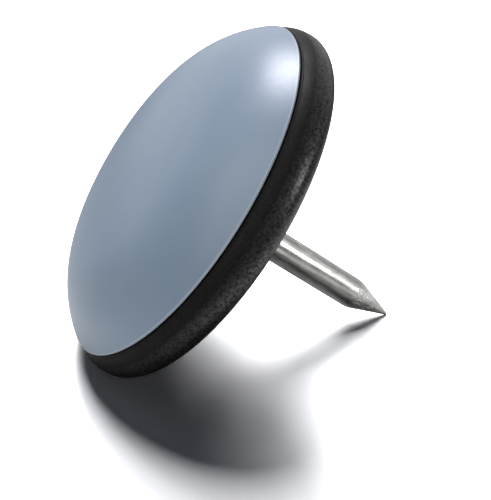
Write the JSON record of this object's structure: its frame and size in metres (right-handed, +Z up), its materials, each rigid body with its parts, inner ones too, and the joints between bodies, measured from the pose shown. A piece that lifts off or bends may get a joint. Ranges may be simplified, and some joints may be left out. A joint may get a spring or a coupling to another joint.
{
  "type": "furniture slider",
  "caption": "Nail-on furniture slider: a domed low-friction disc seated in a soft black carrier ring, with a steel nail that is driven into the end of a leg.",
  "frame": {"origin": "centre of the bounding box in X and Y, at its lowest point: the slider lies on the small flat on the soft back edge of its carrier and on the tip of its nail, both at z = 0", "axes": "+Z up; the slider's own axis lies in the XZ plane, and the nail points to +X and 37.21 degrees down; Y runs along the full diameter"},
  "size_m": [0.0266, 0.03, 0.0247],
  "materials": {
    "ptfe": "satin blue-grey PTFE, smooth, with a soft sheen",
    "carrier_rubber": "dull black, finely grained",
    "nail_steel": "bright drawn steel with fine marks along the shank"
  },
  "bodies": {
    "root": {"glide_disc": "ptfe", "carrier": "carrier_rubber", "nail": "nail_steel"}
  },
  "joints": []
}
